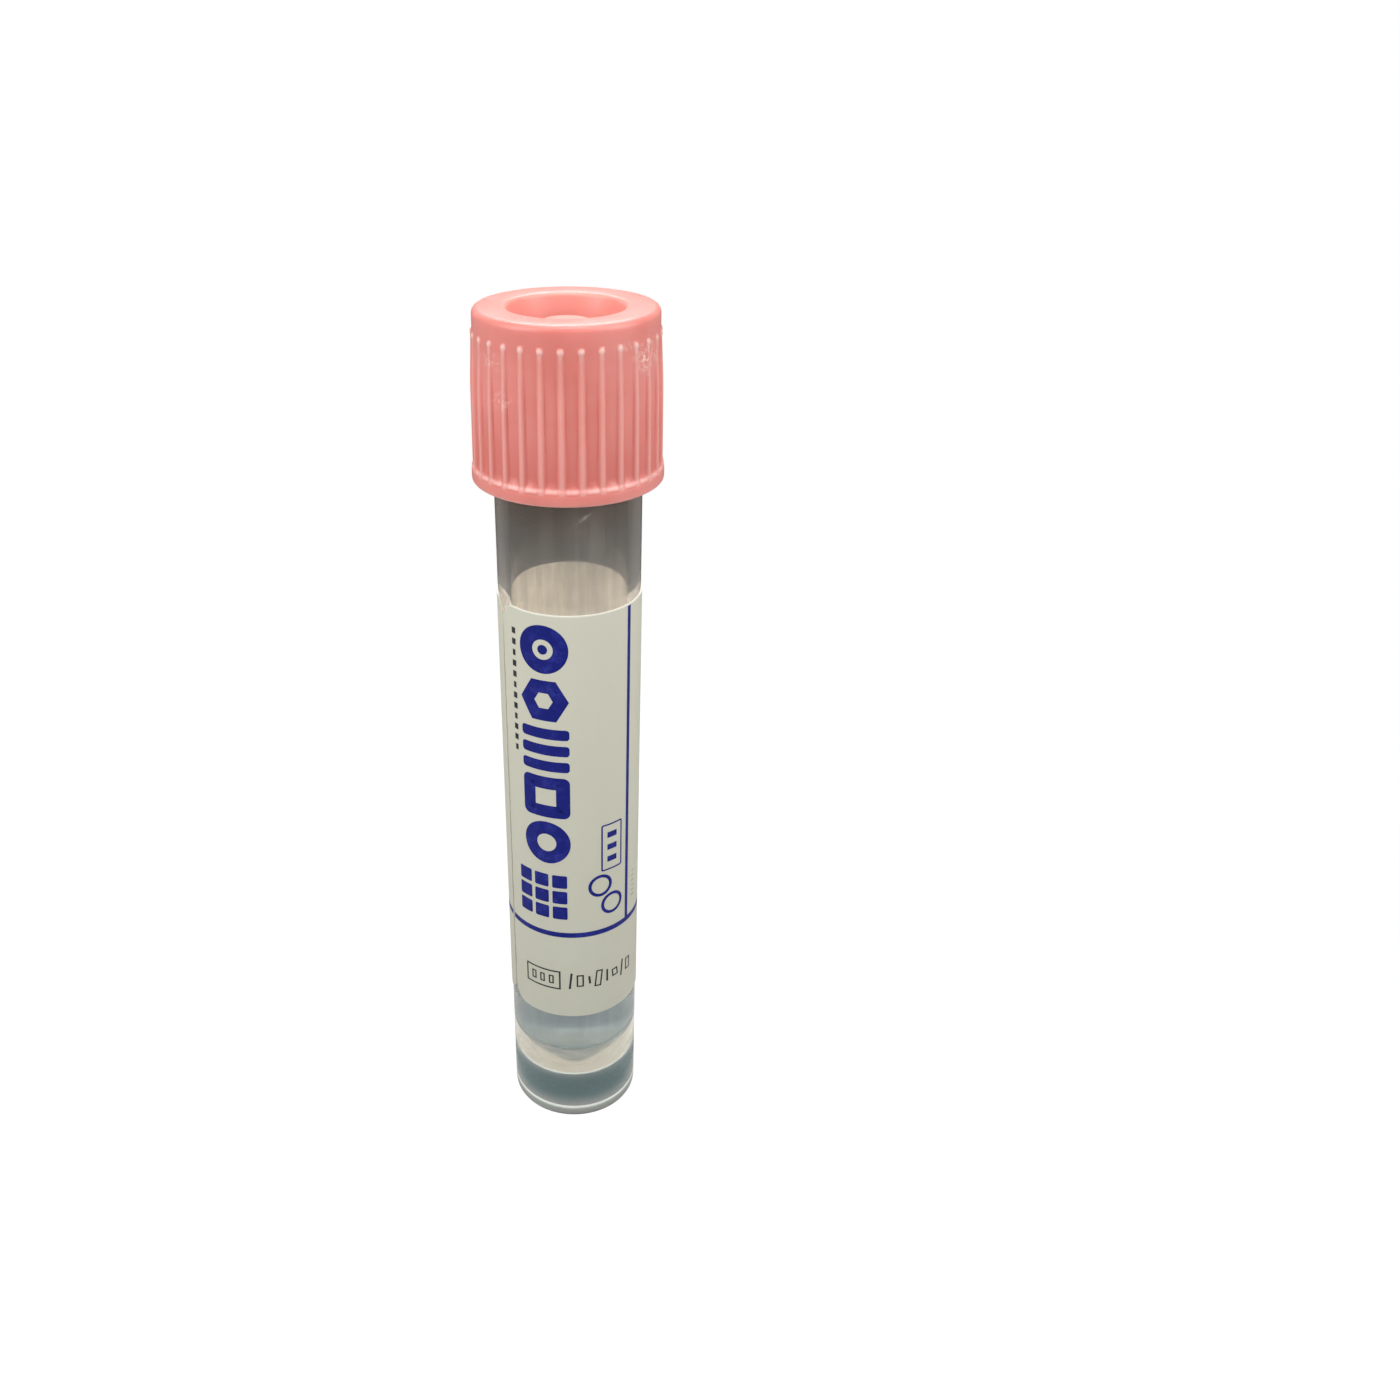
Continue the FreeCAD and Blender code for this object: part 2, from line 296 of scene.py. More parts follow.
tubeLook = {
    "wall": 1.1,
    "skirtWall": 1.05,
    "coneStart": 8.4,
    "tipRadius": 0.7,
    "coneRound": 0.6,
    "tipRound": 0.25,
    "floorThickness": 3.0,
    "footRound": 0.5,
    "footBevel": (0.35, 0.9),     # reach and height of the bevel inside the foot
    "mouthRound": 0.2,
    "neckStep": 0.5,      # the neck's radius is this much less
    "shoulderGap": 0.25,          # below the cap
    "shoulderSlope": 0.4,
    "neckMargins": (0.2, 0.5),    # kept smooth below and above the ridge
    "neckSpacing": 0.16,
    "ridge": (67.3, 2.3),         # level of its start, and its turns
    "steps": 240,
    "ior": 1.49,
    # level, tint and clearness up the wall; the tints paint light and shade: painted shade on the foot's
    # lower edge with a painted highlight line above it, painted shade over the skirt, a painted pale glow
    # at the floor's edge, and darker painted shade with a brown cast of light from the cap under the cap
    "bandsWithPaintedLight": ((0.0, srgb(70, 72, 70), 0.3), (0.42, srgb(88, 90, 88), 0.5),
              (0.6, srgb(226, 230, 226), 0.9), (1.5, srgb(232, 236, 232), 0.9),
              (2.2, srgb(154, 174, 176), 0.82), (3.2, srgb(130, 157, 160), 0.8),
              (5.0, srgb(144, 168, 171), 0.86), (5.8, srgb(226, 232, 230), 0.93),
              (13.0, srgb(210, 222, 227), 0.94), (50.0, srgb(252, 250, 246), 0.97),
              (57.5, srgb(246, 242, 236), 0.97), (61.0, srgb(200, 199, 195), 0.955),
              (65.4, srgb(196, 178, 165), 0.955), (66.6, srgb(226, 223, 218), 0.95)),
    "soot": srgb(172, 166, 160),
    "cloud": (220, 3.0),  # noise scale and detail
    "fineStreaks": (1300, 1300, 14),      # noise scales across and up the wall
    "broadStreaks": (420, 420, 5),
    "streakRise": (4.0, 0.4),     # height over which they come in above the cone, and their share
    "sootLevels": (0.62, 0.84),   # values of the streaks between which the soot comes in
    "milk": 0.24,         # strength of the milky streaks up the barrel
    "milkLevels": (0.5, 0.64),    # values of the broad streaks between which they come in
    "nick": (12.0, 63.97, 0.8, 0.24, 32.0),       # turn, level, half length, half width and tilt
    "nickMilk": 0.16,
    "nickGrain": (5000, 4.0, 0.7),        # noise scale, detail and roughness
    "polish": (0.03, 0.12),       # least and greatest roughness of the barrel
    "coneHaze": 0.26,
    "coneEdge": (4.95, 4.85),     # radii between which the cone's haze starts
    "footHaze": 0.5,
    "footEdge": (0.6, 0.3),       # levels between which the foot's haze starts
    # level and haze of the barrel round the cone
    "haze": ((0.0, 0.0), (3.2, 0.0), (4.4, 0.28), (6.6, 0.28), (8.4, 0.0)),
    "rippleDepth": 0.01,          # of the streaks, as relief
    "barrelPasses": (0.95, 0.95, 0.94, 1),        # light that passes straight through
    # painted light: the cream stands in for the label's light carried down through the solid plastic
    "frostedCreamGlow": srgb(235, 221, 199),
    "frostedGrain": srgb(224, 211, 191),
    "frostedNoise": (1800, 3.0),
    "frostedRough": (0.35, 0.5),
    "frostedShare": 0.7,  # the rest is clear
    "frostedPasses": (0.9, 0.9, 0.88, 1),
    # painted highlight: a bright line at the corner under the floor
    "rimLight": srgb(252, 255, 250),      # the corner under the floor
    "rimEdge": (0.55, 0.45),      # distances inside the skirt's wall between which it starts
    # level and tint up the bevel inside the foot: painted shade low down and a painted highlight line at
    # its top
    "footShadeAndHighlight": ((0.0, srgb(112, 116, 112)), (0.5, srgb(140, 146, 142)), (0.62, srgb(190, 196, 190)),
                  (0.72, srgb(253, 255, 252))),
}


def tubeMaterial():
    material, tree, shader = newMaterial("smoky_polypropylene")
    look = tubeLook
    place = objectPlace(tree)
    height = heightOf(tree, place)
    along = ramp(tree, height, 0, mouthLevel * mm)

    def upTheWall(levels):
        # a value or a colour at each level, blended between them
        return stops(tree, along, [(level / mouthLevel, value) for level, value in levels])

    # streaks run up the wall, with a little soot and milkiness in them
    fine = noise(tree, stretched(tree, place, look["fineStreaks"]), 1.0, 4.0, 0.6)
    broad = noise(tree, stretched(tree, place, look["broadStreaks"]), 1.0, 2.0)
    streaks = maths(tree, "MULTIPLY_ADD", fine, 0.5, maths(tree, "MULTIPLY", broad, 0.5))
    rise, share = look["streakRise"]
    above = ramp(tree, height, look["coneStart"] * mm, (look["coneStart"] + rise) * mm, 0.0, share)
    cloud = noise(tree, place, *look["cloud"])
    sooty = ramp(tree, maths(tree, "MULTIPLY_ADD", cloud, 0.4, streaks), *look["sootLevels"])
    darker = maths(tree, "MULTIPLY", sooty, above)
    # the wall's tint, with painted shade and painted highlights in its bands
    tint = upTheWall([(level, colour) for level, colour, clear in look["bandsWithPaintedLight"]])
    tint = blendColours(tree, darker, tint, look["soot"])
    crumbs = ramp(tree, noise(tree, place, *look["nickGrain"]), 0.3, 0.5)
    nick = maths(tree, "MULTIPLY", spot(tree, place, tubeRadius, *look["nick"]), crumbs)
    clearness = upTheWall([(level, (clear,) * 3 + (1,)) for level, colour, clear in look["bandsWithPaintedLight"]])
    milky = maths(tree, "MULTIPLY", above, look["milk"])
    milky = maths(tree, "MULTIPLY", ramp(tree, broad, *look["milkLevels"]), milky)
    milky = maths(tree, "MAXIMUM", milky, maths(tree, "MULTIPLY", nick, look["nickMilk"]))

    # the mould leaves the cone and the rounded foot duller than the barrel
    coneOut, coneIn = look["coneEdge"]
    cone = ramp(tree, fromAxis(tree, place), coneOut * mm, coneIn * mm, 0.0, look["coneHaze"])
    footTop, footLow = look["footEdge"]
    foot = ramp(tree, height, footTop * mm, footLow * mm, 0.0, look["footHaze"])
    polish = spread(tree, streaks, *look["polish"])
    lowBarrel = upTheWall([(level, (haze,) * 3 + (1,)) for level, haze in look["haze"]])
    fill(tree, shader, {
        "Base Color": blendColours(tree, nick, tint, (1, 1, 1, 1)),
        "Transmission Weight": maths(tree, "SUBTRACT", clearness, milky),
        "IOR": look["ior"],
        "Specular IOR Level": 0.15,
        "Roughness": maths(tree, "ADD", maths(tree, "ADD", polish, cone),
                           maths(tree, "ADD", foot, lowBarrel)),
        "Normal": bump(tree, maths(tree, "MULTIPLY", streaks, above), look["rippleDepth"] * mm),
    })
    letLightThrough(tree, shader, look["barrelPasses"])
    return material


def frostedMaterial():
    # the rough underside of the floor and the inside of the foot; its cream is painted light, standing in
    # for the label's light carried down through the plastic
    material, tree, shader = newMaterial("frosted_polypropylene")
    look = tubeLook
    place = objectPlace(tree)
    height = heightOf(tree, place)
    grain = noise(tree, place, *look["frostedNoise"])
    cream = blendColours(tree, grain, look["frostedCreamGlow"], look["frostedGrain"])
    skirt = tubeRadius - look["skirtWall"]
    outer, inner = look["rimEdge"]
    # a painted bright line at the corner under the floor
    corner = ramp(tree, fromAxis(tree, place), (skirt - outer) * mm, (skirt - inner) * mm)
    under = blendColours(tree, corner, cream, look["rimLight"])
    # painted shade and a painted highlight line up the foot's bevel
    foot = stops(tree, ramp(tree, height, 0, mm), look["footShadeAndHighlight"])
    fill(tree, shader, {
        "Base Color": blendColours(tree, ramp(tree, height, 1.0 * mm, 1.1 * mm), foot, under),
        "Transmission Weight": ramp(tree, corner, 0, 1, 1 - look["frostedShare"], 0.0),
        "IOR": look["ior"],
        "Roughness": spread(tree, grain, *look["frostedRough"]),
    })
    letLightThrough(tree, shader, look["frostedPasses"])
    return material


def makeTube():
    look = tubeLook
    bore = tubeRadius - look["wall"]
    skirt = tubeRadius - look["skirtWall"]
    neck = tubeRadius - look["neckStep"]
    barrelTop = capLow - look["shoulderGap"]
    neckLow = barrelTop + look["shoulderSlope"]
    bevelReach, bevelTop = look["footBevel"]
    tip = liquidLow
    under = tip - look["floorThickness"]
    bm = bmesh.new()
    drawOutline(bm, [
        (skirt, bevelTop, 0), (skirt + bevelReach, 0, 0.1), (tubeRadius, 0, look["footRound"]),
        (tubeRadius, barrelTop, 0.15),
        (neck, neckLow, 0.15), (neck, mouthLevel, look["mouthRound"]),
        (bore, mouthLevel, look["mouthRound"]), (bore, look["coneStart"], look["coneRound"]),
        (look["tipRadius"], tip, look["tipRound"]), (0, tip, 0), (0, under, 0),
        (look["tipRadius"], under, look["tipRound"]),
        (skirt, look["coneStart"] - look["floorThickness"], 0.3)])
    divideRun(bm, (neck - slack, neck + slack), neckLow, mouthLevel, look["neckSpacing"])
    turnOutline(bm, look["steps"])
    below, above = look["neckMargins"]
    for vert in bm.verts:
        onNeck = abs(reachOf(vert.co) - neck) < 2 * slack
        if onNeck and neckLow + below < vert.co.z < mouthLevel - above:
            pushOut(vert, threadRidge(vert, *look["ridge"]))
    for face in bm.faces:
        middle = face.calc_center_median()
        inside = reachOf(middle) < tubeRadius - look["footRound"]
        underside = inside and face.normal.z < -0.3 and middle.z < look["coneStart"]
        face.material_index = int(underside)
    return finishPiece(bm, "tube_wall", "tube_body",
                       [tubeMaterial(), frostedMaterial()], ["tube"])


# the liquid, with its edge drawn up the wall

liquidLook = {
    "overlap": 0.012,     # into the wall, so that no film of air shows
    "meniscus": 0.35,
    "meniscusWidth": 0.3,         # its height falls to about a third over this
    "spacing": 0.12,      # of the rings across its surface
    "steps": 240,
    "tint": srgb(226, 229, 230),
    "clear": 0.9,
    "cloud": (260, 3.0),
    "rough": (0.0, 0.05),
    # painted highlight colour of the line where the liquid meets the wall
    "edge": srgb(238, 240, 234),
    "meniscusHighlightDepth": 0.25,    # of the painted highlight line where the liquid meets the wall
    "meniscusHighlightMilk": 0.5,      # how much less clear that line is
    "passes": (0.95, 0.96, 0.96, 1),
}


def liquidMaterial():
    material, tree, shader = newMaterial("transport_liquid")
    look = liquidLook
    place = objectPlace(tree)
    cloud = noise(tree, place, *look["cloud"])
    rim = (liquidTop + look["meniscus"]) * mm
    depth = look["meniscusHighlightDepth"] * mm
    # a painted highlight along the top of the meniscus, paler and less clear
    line = ramp(tree, heightOf(tree, place), rim - depth, rim - depth * 0.6)
    fill(tree, shader, {
        "Base Color": blendColours(tree, line, look["tint"], look["edge"]),
        "Transmission Weight": maths(tree, "MULTIPLY_ADD", line, -look["meniscusHighlightMilk"], look["clear"]),
        "IOR": 1.34,
        "Specular IOR Level": 0.2,
        "Roughness": spread(tree, cloud, *look["rough"]),
    })
    letLightThrough(tree, shader, look["passes"])
    return material


def makeLiquid():
    look = liquidLook
    edge = liquidRadius + look["overlap"]
    tip = liquidLow - look["overlap"]
    bm = bmesh.new()
    drawOutline(bm, [(0, tip, 0), (tubeLook["tipRadius"], tip, tubeLook["tipRound"]),
                     (edge, tubeLook["coneStart"], tubeLook["coneRound"]),
                     (edge, liquidTop, 0), (0, liquidTop, 0)])
    divideRun(bm, (0, edge + 0.1), liquidTop, liquidTop, look["spacing"])
    turnOutline(bm, look["steps"])
    for vert in bm.verts:
        if abs(vert.co.z - liquidTop) < slack:
            fromWall = edge - reachOf(vert.co)
            vert.co.z += look["meniscus"] * math.exp(-fromWall / look["meniscusWidth"])
    return finishPiece(bm, "liquid", "tube_body", [liquidMaterial()], ["transport_medium"])


# the label: one sheet, folded round the tube

labelLook = {
    "wrapStep": 2.5,      # degrees between the fold lines of the wrapped sheet
    "seamTurn": -65.0,    # from the front
    "seam": 0.25,
    "corner": 1.6,
    "thickness": 0.09,
    "paper": srgb(193, 194, 179),
    "paperWarm": srgb(187, 186, 170),
    # painted light on the upper part of the sheet
    "paperPaintedTopLight": srgb(208, 207, 190),
    "blue": srgb(12, 24, 116),
    "black": srgb(40, 38, 44),
    "grey": srgb(150, 148, 144),
    "inkGap": 0.002,      # between paper and ink
    "inkRise": 0.006,     # thickness of the ink
    "inkSpeck": (6500, 2.0),      # noise scales and detail
    "inkPatch": (900, 3.0),
    "inkRough": (0.36, 0.5),
    "tone": (120, 2.0),
    "fibre": (5200, 4.0, 0.6),
    "ripple": (180, 180, 1500),   # noise scales across and up the paper
    "rough": (0.42, 0.58),
    "back": srgb(252, 241, 224),
    "backFibre": 0.4,     # share of the paper's colour in the fibres of its back
    "backGrain": (2400, 2400, 500),
    "backRough": (0.5, 0.7),
    "cut": srgb(250, 248, 236),
    "cutEdge": 0.16,      # width of the pale line along the cut top
    "through": 0.92,      # share of the light that comes through the paper
    "relief": 0.01,       # depth of its grain
}
degree = math.radians(1) * labelRadius    # millimetres round the label for each degree


def paperMaterial():
    material, tree, shader = newMaterial("coated_paper")
    look = labelLook
    place = objectPlace(tree)
    height = heightOf(tree, place)
    broad = noise(tree, place, *look["tone"])
    fibre = noise(tree, place, *look["fibre"])
    ripple = noise(tree, stretched(tree, place, look["ripple"]), 1.0, 3.0)
    tone = ramp(tree, maths(tree, "MULTIPLY_ADD", fibre, 0.35, broad), 0.45, 0.95)
    sheet = blendColours(tree, tone, look["paper"], look["paperWarm"])
    # painted light: the sheet grows paler towards its top
    sheet = blendColours(tree, ramp(tree, height, labelLow * mm, labelTop * mm), sheet, look["paperPaintedTopLight"])
    cut = ramp(tree, height, (labelTop - look["cutEdge"]) * mm, labelTop * mm)
    rough = maths(tree, "MULTIPLY_ADD", ripple, 0.8, fibre)
    fill(tree, shader, {
        "Base Color": blendColours(tree, cut, sheet, look["cut"]),
        "Roughness": spread(tree, fibre, *look["rough"]),
        "Specular IOR Level": 0.4,
        "Normal": bump(tree, rough, look["relief"] * mm),
    })
    letLightThrough(tree, shader, (1, 1, 1, 1))
    return material


def paperBackMaterial():
    # the glued side, which glows with the light that comes through the paper
    material, tree, shader = newMaterial("paper_back")
    look = labelLook
    fibre = noise(tree, stretched(tree, objectPlace(tree), look["backGrain"]), 1.0, 4.0, 0.6)
    fibres = ramp(tree, fibre, 0.35, 0.65, 0.0, look["backFibre"])
    colour = blendColours(tree, fibres, look["back"], look["paper"])
    fill(tree, shader, {"Base Color": colour, "Roughness": spread(tree, fibre, *look["backRough"])})
    glow = put(tree, "ShaderNodeBsdfTranslucent", {"Color": colour})
    whole = put(tree, "ShaderNodeMixShader", {0: look["through"], 1: shader.outputs[0], 2: glow.outputs[0]})
    tree.links.new(whole.outputs[0], tree.nodes["Material Output"].inputs["Surface"])
    return material


def inkMaterial(name, colour):
    material, tree, shader = newMaterial(name)
    look = labelLook
    place = objectPlace(tree)
    speck = noise(tree, place, *look["inkSpeck"])
    patch = noise(tree, place, *look["inkPatch"])
    pale = tuple(min(1.0, part * 1.5 + 0.02) for part in colour[:3]) + (1.0,)
    worn = ramp(tree, maths(tree, "MULTIPLY_ADD", speck, 0.5, patch), 0.75, 1.05)
    fill(tree, shader, {
        "Base Color": blendColours(tree, worn, colour, pale),
        "Roughness": spread(tree, speck, *look["inkRough"]),
        "Specular IOR Level": 0.2,
    })
    return material


def facesInward(face):
    # whether a face of the wrapped sheet looks towards the tube's axis
    middle = face.calc_center_median()
    return face.normal.x * middle.x + face.normal.y * middle.y < 0


def wrapFlat(bm, radius, thickness):
    # a flat sheet in X (degrees from the front) and Z is folded at even steps and wrapped on
    step = labelLook["wrapStep"]
    folds = int(360 / step)
    for fold in range(-folds, folds):
        geometry = bm.verts[:] + bm.edges[:] + bm.faces[:]
        bmesh.ops.bisect_plane(bm, geom=geometry, plane_co=(fold * step, 0, 0), plane_no=(1, 0, 0),
                               dist=1e-5)
    for vert in bm.verts:
        angle = math.radians(vert.co.x)
        vert.co = Vector((radius * math.sin(angle), -radius * math.cos(angle), vert.co.z))
    bmesh.ops.recalc_face_normals(bm, faces=bm.faces)
    for face in bm.faces:
        if facesInward(face):
            face.normal_flip()
    bmesh.ops.solidify(bm, geom=bm.faces[:], thickness=thickness)


def makeLabel():
    look = labelLook
    halfSeam = look["seam"] / degree / 2
    start = look["seamTurn"] + halfSeam
    end = look["seamTurn"] + 360 - halfSeam
    bm = bmesh.new()
    # drawn in millimetres first so that the corners are round, then in degrees
    corners = [(start * degree, labelLow), (end * degree, labelLow),
               (end * degree, labelTop), (start * degree, labelTop)]
    verts = [bm.verts.new((across, 0, up)) for across, up in corners]
    bm.faces.new(verts)
    bmesh.ops.bevel(bm, geom=verts, offset=look["corner"], offset_type="OFFSET", affect="VERTICES",
                    segments=8, profile=0.5, material=-1)
    for vert in bm.verts:
        vert.co.x /= degree
    wrapFlat(bm, labelRadius, look["thickness"])
    for face in bm.faces:
        face.material_index = int(facesInward(face))
    return finishPiece(bm, "label_strip", "tube_body",
                       [paperMaterial(), paperBackMaterial()], ["label"], weighted=False)


# the print: plain shapes, drawn flat and wrapped on; a turn is in degrees from the front
printLook = {
    "stripe": (53.0, 0.42, 0.3),      # turn, width, and how much it is cut short
    "band": (23.05, 0.55, 356.5),     # level, width and how far round it runs
    "column": (-22.0, 33.2, 4.8),     # turn, level of the lowest shape, pitch
    "shapeSize": 4.45,
    "rims": (1.3, 1.25, 1.2),         # of the column's rings, square and hexagon
    "bars": (0.36, 0.23),             # pitch and height of its three bars, as shares of the size
    "dot": 0.2,                       # in the top ring, as a share of the size
    "grid": (-27.5, 27.3, 1.75, 0.8),         # turn, level, pitch and fill of three by three squares
    "smallBox": (35.2, 32.3, 2.3, 5.0),       # turn, level, width and height
    "smallBars": (0.26, 0.45, 0.12),          # pitch, width and height as shares of the box
    "rings": ((24.0, 28.3), (35.5, 26.0)),
    "ringSize": (2.4, 0.32),          # across, and the width of the rim
    "tickColumn": (-49.5, 42.2, 1.02, 12),    # turn, level, pitch and number
    "tickWidths": (0.34, 0.46, 0.46),         # one after the other up the column
    "strokeBox": (-29.0, 17.6, 3.7, 2.2),     # turn, level, width and height
    "boxMarks": (0.25, 0.5, 0.45, 0.14),      # pitch share, width, height share and rim
    "strokes": (-3.0, 17.6, 8.4, 8),          # turn, level, pitch in degrees and number
    "strokeForms": (0.2, 1.9, 0.5, 6),        # width, height, steps of both, and tilt
    "specks": (63.5, 25.2, 0.55, 6),          # turn, level, pitch and number
    "speckSize": (0.5, 0.1, 0.14),            # width, its steps, and height
    "thin": 0.16,
}


def makePrint():
    look = printLook
    inks = {"blue": 0, "black": 1, "grey": 2}
    bm = bmesh.new()

    def shape(turn, level, width, height, ink="blue", hole=0.0, corner=0.0, tilt=0.0, sides=0):
        # one flat patch, a box or a figure of so many sides; hole is the width of its rim
        part = bmesh.new()
        if sides:
            bmesh.ops.create_circle(part, cap_ends=True, segments=sides, radius=0.5)
        else:
            bmesh.ops.create_grid(part, x_segments=1, y_segments=1, size=0.5)
        bmesh.ops.scale(part, vec=(width, height, 1), verts=part.verts)
        if corner:
            bmesh.ops.bevel(part, geom=part.verts[:], offset=corner, offset_type="OFFSET",
                            affect="VERTICES", segments=5, profile=0.5, material=-1)
        if hole:
            bmesh.ops.inset_region(part, faces=part.faces[:], thickness=hole, use_boundary=True,
                                   use_even_offset=True)
            inner = [face for face in part.faces if not any(edge.is_boundary for edge in face.edges)]
            bmesh.ops.delete(part, geom=inner, context="FACES")
        bmesh.ops.rotate(part, cent=(0, 0, 0), matrix=Matrix.Rotation(math.radians(tilt), 3, "Z"),
                         verts=part.verts)
        for face in part.faces:
            face.material_index = inks[ink]
        for vert in part.verts:
            vert.co = Vector((turn + vert.co.x / degree, 0, level + vert.co.y))
        mesh = bpy.data.meshes.new("patch")
        part.to_mesh(mesh)
        part.free()
        bm.from_mesh(mesh)
        bpy.data.meshes.remove(mesh)

    # the long stripe and the band round the tube
    turn, width, cutShort = look["stripe"]
    level, thick, around = look["band"]
    shape(turn, (labelTop + level) / 2, width, labelTop - level - cutShort)
    shape(labelLook["seamTurn"] + 180, level, around * degree, thick)

    # a column of five plain figures
    size = look["shapeSize"]
    turn, low, pitch = look["column"]
    ringRim, squareRim, hexagonRim = look["rims"]
    barPitch, barHeight = look["bars"]
    dot = size * look["dot"]
    shape(turn, low, size, size, hole=ringRim, sides=48)
    shape(turn, low + pitch, size, size * 0.94, hole=squareRim, corner=0.6)
    for offset in (-1, 0, 1):
        shape(turn, low + 2 * pitch + offset * size * barPitch, size, size * barHeight, corner=0.3)
    shape(turn, low + 3 * pitch, size, size, hole=hexagonRim, sides=6, tilt=30)
    shape(turn, low + 4 * pitch, size, size, hole=ringRim, sides=48)
    shape(turn, low + 4 * pitch, dot, dot, sides=24)

    # nine squares, a box with three bars, two rings
    turn, level, step, share = look["grid"]
    square = step * share
    for row in (-1, 0, 1):
        for column in (-1, 0, 1):
            shape(turn + column * step / degree, level + row * step, square, square, corner=0.15)
    turn, level, width, height = look["smallBox"]
    barPitch, barWidth, barHeight = look["smallBars"]
    shape(turn, level, width, height, hole=look["thin"], corner=0.2)
    for offset in (-barPitch, 0, barPitch):
        shape(turn, level + offset * height, width * barWidth, height * barHeight)
    across, rim = look["ringSize"]
    for turn, level in look["rings"]:
        shape(turn, level, across, across, hole=rim, sides=32)

    # dashes, a box with three marks, strokes and specks
    turn, level, step, count = look["tickColumn"]
    for index in range(count):
        shape(turn, level + index * step, look["tickWidths"][index % 3], step * 0.55, "black")
    turn, level, width, height = look["strokeBox"]
    shape(turn, level, width, height, "black", hole=look["thin"])
    markPitch, markWidth, markHeight, markRim = look["boxMarks"]
    for offset in (-1, 0, 1):
        shape(turn + offset * width * markPitch / degree, level, markWidth, height * markHeight, "black",
              hole=markRim)
    turn, level, step, count = look["strokes"]
    width, height, change, tilt = look["strokeForms"]
    for index in range(count):
        shape(turn + index * step, level, width + change * (index % 2), height - change * (index % 3),
              "black", hole=0.15 * (index % 2), tilt=tilt * (index % 3) - tilt)
    turn, level, step, count = look["specks"]
    width, change, height = look["speckSize"]
    for index in range(count):
        shape(turn, level + index * step, width - change * (index % 3), height, "grey")
    wrapFlat(bm, labelRadius + labelLook["inkGap"] + labelLook["inkRise"], labelLook["inkRise"])
    return finishPiece(bm, "label_print", "tube_body",
                       [inkMaterial(ink + "_ink", labelLook[ink]) for ink in inks], [], weighted=False)


# the seal ring

sealLook = {
    "inner": 5.0,
    "round": 0.12,
    "steps": 160,
    "colour": srgb(228, 228, 222),
    "dust": srgb(214, 213, 206),
    "grain": (1500, 3.0),
    "rough": (0.5, 0.65),
}


def makeSeal():
    look = sealLook
    material, tree, shader = newMaterial("white_silicone")
    dust = noise(tree, objectPlace(tree), *look["grain"])
    fill(tree, shader, {
        "Base Color": blendColours(tree, dust, look["colour"], look["dust"]),
        "Roughness": spread(tree, dust, *look["rough"]),
        "Normal": bump(tree, dust, 0.01 * mm),
        "Subsurface Weight": 0.2,
        "Subsurface Scale": 0.8 * mm,
    })
    bm = bmesh.new()
    size = look["round"]
    drawOutline(bm, [(look["inner"], sealLow, size), (sealRadius, sealLow, size),
                     (sealRadius, sealTop, size), (look["inner"], sealTop, size)])
    turnOutline(bm, look["steps"])
    return finishPiece(bm, "seal_washer", "seal_body", [material], ["seal_ring"])


# the screw cap

capLook = {
    "bore": 6.25,
    "landLow": 7.48,
    "landTop": 7.34,
    "lipHeight": 0.91,
    "flangeHeight": 1.36,
    "rimRound": 0.5,
    "recess": 4.65,
    "recessFloor": 4.15,
    "recessDepth": 6.0,
    "taperLow": 2.6,      # above here the wall is even enough for a coarser mesh
    "boss": 2.05,
    "bossDrop": 1.2,
    "bossRoof": 0.8,
    "socket": 1.25,
    "socketLength": 6.6,
    "plug": 4.95,
    "plugFloor": 0.9,
    "deck": 1.4,
    "ribs": 30,
    "ribTurn": -3.65,
    "ribReach": 0.25,
    "ribTopReach": 0.1,
    "ribHalf": (0.33, 0.23),      # half width of a rib at its foot and under its knob
    "knob": 0.28,                 # half size of the round end of a rib
    "knobRise": 0.05,
    "knobZone": (0.5, 0.1),       # finer mesh this far below and above the ribs' ends
    "ribBand": 1.65,      # smooth band above the ribs
    "knee": 4.85,         # height over which a rib leans in
    "footFlare": 0.16,    # how far a land runs out at its foot
    "footHeight": 0.75,
    "ribHighlight": (0.3, 0.75),       # strength of the painted highlight on a rib's top and on its knob
    "ledgeHighlight": (1.24, 0.24, 0.6, 0.22),     # level, half height, strength of the painted highlight on the shoulder, and gap at the ribs
    "lip": (0.35, 0.3),   # how pale the band along the flange's lower edge is, and its width
    "inset": 0.03,        # the ribs and the flare stay this far inside the flange
    "boreMargin": 0.3,    # kept smooth at both ends of the bore
    "ridge": (3.35, 2.1),         # start above the lip, half a lead from the neck's ridge, and turns
    "steps": 540,
    # turn, level, half width, half height and strength
    "scuffs": ((56, 76.2, 2.2, 1.6, 1.0), (-42, 73.2, 1.3, 0.9, 0.6), (-50, 76.0, 1.8, 0.9, 0.4),
               (40, 77.3, 1.3, 0.5, 0.4), (150, 72.0, 2.0, 1.2, 0.7)),
    "scratches": (2300, 5.0, 0.8),        # noise scale, detail and roughness
    "scratchLevels": (0.51, 0.57),        # values of it between which a scratch shows
    "mottle": (140, 3.0),
    "grain": (4200, 3.0),
    "rough": (0.34, 0.46),
    "relief": 0.006,      # depth of the grain
    "coral": srgb(230, 143, 135),
    "deep": srgb(221, 126, 116),
    # painted shade, darkest just above the flange
    "paintedFootShade": srgb(206, 104, 94),
    "paintedFootShadeBand": (1.6, 7.0, 0.6),  # heights between which the painted shade above the flange fades, and its share
    "inside": srgb(246, 170, 158),        # of the recess, painted paler as if light shone into it from all round
    "recessPaintedLightShare": 0.7,
    "pale": srgb(252, 212, 204),
}


